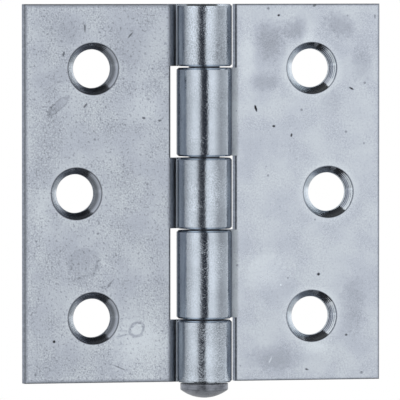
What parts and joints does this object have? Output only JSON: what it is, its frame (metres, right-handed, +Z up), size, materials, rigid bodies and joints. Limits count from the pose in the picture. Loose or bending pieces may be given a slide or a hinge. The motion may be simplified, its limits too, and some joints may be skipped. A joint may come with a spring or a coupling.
{
  "type": "loose pin butt hinge",
  "caption": "Flat butt hinge of rolled, zinc-plated sheet steel, with interleaved knuckles on a headed pin that draws out so the leaves come apart.",
  "frame": {"origin": "on the pin axis, halfway between the top of the knuckles and the crown of the pin head", "axes": "+Z up along the pin, away from its head; +X from the pin to the swinging leaf, laid open flat; +Y from the countersunk front faces to the back faces that lie on the door and frame"},
  "size_m": [0.0724, 0.011, 0.0782],
  "materials": {
    "zinc_plated_steel": "satin zinc plate with a fine grain",
    "pin_steel": "drawn steel, darker than the leaves"
  },
  "bodies": {
    "fixed_leaf": {"three_knuckle_leaf": "zinc_plated_steel"},
    "swing_leaf": {"two_knuckle_leaf": "zinc_plated_steel"},
    "pin": {"loose_pin": "pin_steel"}
  },
  "joints": [
    {"name": "leaf_swing", "type": "hinge", "parent": "fixed_leaf", "child": "swing_leaf", "pos_m": [0, 0, 0], "axis": [0, 0, 1], "range_deg": [-180, 120]},
    {"name": "pin_withdraw", "type": "slide", "parent": "fixed_leaf", "child": "pin", "axis": [0, 0, -1], "range_m": [0, 0.08]}
  ]
}
